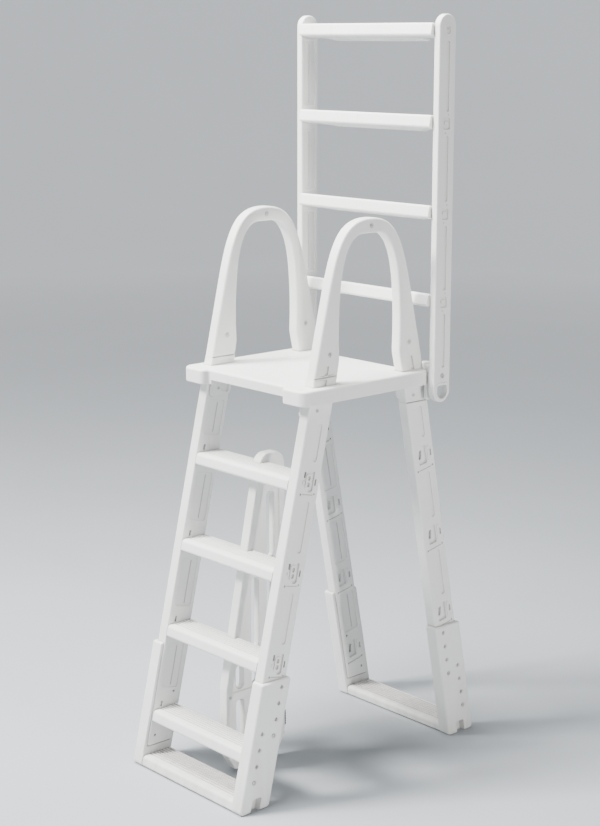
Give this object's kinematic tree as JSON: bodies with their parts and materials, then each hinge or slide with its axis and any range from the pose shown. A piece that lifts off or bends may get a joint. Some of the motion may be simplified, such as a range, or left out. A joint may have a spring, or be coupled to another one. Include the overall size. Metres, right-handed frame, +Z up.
{
  "type": "above-ground pool ladder",
  "caption": "A-frame resin ladder that straddles a pool wall: steps, deck with arched handrails, a flip-up outside ladder and feet that slide out.",
  "frame": {"origin": "on the floor, under the middle of the feet", "axes": "+Z up, +X to the right of a bather climbing out of the pool, +Y from the pool side to the outside"},
  "size_m": [0.659, 1.0514, 2.4143],
  "materials": {
    "white_plastic": "satin, finely textured",
    "black_rubber": "matt",
    "screw_steel": "brushed"
  },
  "bodies": {
    "base": {"barrier_bolt": "screw_steel", "barrier_bumper": "black_rubber", "barrier_panel": "white_plastic", "deck_bracket_front_left": "white_plastic", "deck_bracket_front_right": "white_plastic", "deck_bracket_rear_left": "white_plastic", "deck_bracket_rear_right": "white_plastic", "front_leg_left": "white_plastic", "front_leg_right": "white_plastic", "front_step_1": "white_plastic", "front_step_2": "white_plastic", "front_step_3": "white_plastic", "front_step_4": "white_plastic", "handrail_bolt_left_front": "screw_steel", "handrail_bolt_left_rear": "screw_steel", "handrail_bolt_left_top": "screw_steel", "handrail_bolt_right_front": "screw_steel", "handrail_bolt_right_rear": "screw_steel", "handrail_bolt_right_top": "screw_steel", "handrail_left": "white_plastic", "handrail_right": "white_plastic", "hinge_bracket_left": "white_plastic", "hinge_bracket_right": "white_plastic", "leg_bolt_front_left": "screw_steel", "leg_bolt_front_right": "screw_steel", "leg_bolt_rear_left": "screw_steel", "leg_bolt_rear_right": "screw_steel", "platform_deck": "white_plastic", "rear_leg_left": "white_plastic", "rear_leg_right": "white_plastic"},
    "flip_ladder": {"flip_rail_left": "white_plastic", "flip_rail_right": "white_plastic", "flip_rung_1": "white_plastic", "flip_rung_2": "white_plastic", "flip_rung_3": "white_plastic", "flip_rung_4": "white_plastic", "hinge_bolt_left": "screw_steel", "hinge_bolt_right": "screw_steel", "hinge_bushing_left": "black_rubber", "hinge_bushing_right": "black_rubber"},
    "front_foot": {"front_foot_rung": "white_plastic", "front_foot_screw_left_lower": "screw_steel", "front_foot_screw_left_upper": "screw_steel", "front_foot_screw_right_lower": "screw_steel", "front_foot_screw_right_upper": "screw_steel", "front_foot_sleeve_left": "white_plastic", "front_foot_sleeve_right": "white_plastic"},
    "rear_foot": {"rear_foot_rung": "white_plastic", "rear_foot_screw_left_lower": "screw_steel", "rear_foot_screw_left_upper": "screw_steel", "rear_foot_screw_right_lower": "screw_steel", "rear_foot_screw_right_upper": "screw_steel", "rear_foot_sleeve_left": "white_plastic", "rear_foot_sleeve_right": "white_plastic"}
  },
  "joints": [
    {"name": "flip_hinge", "type": "hinge", "parent": "base", "child": "flip_ladder", "pos_m": [0, 0.28702, 1.28397], "axis": [-1, 0, 0], "range_deg": [0, 168.5]},
    {"name": "front_foot_slide", "type": "slide", "parent": "base", "child": "front_foot", "axis": [0, -0.2256, -0.9742], "range_m": [0, 0.1524]},
    {"name": "rear_foot_slide", "type": "slide", "parent": "base", "child": "rear_foot", "axis": [0, 0.1888, -0.982], "range_m": [0, 0.1524]}
  ]
}
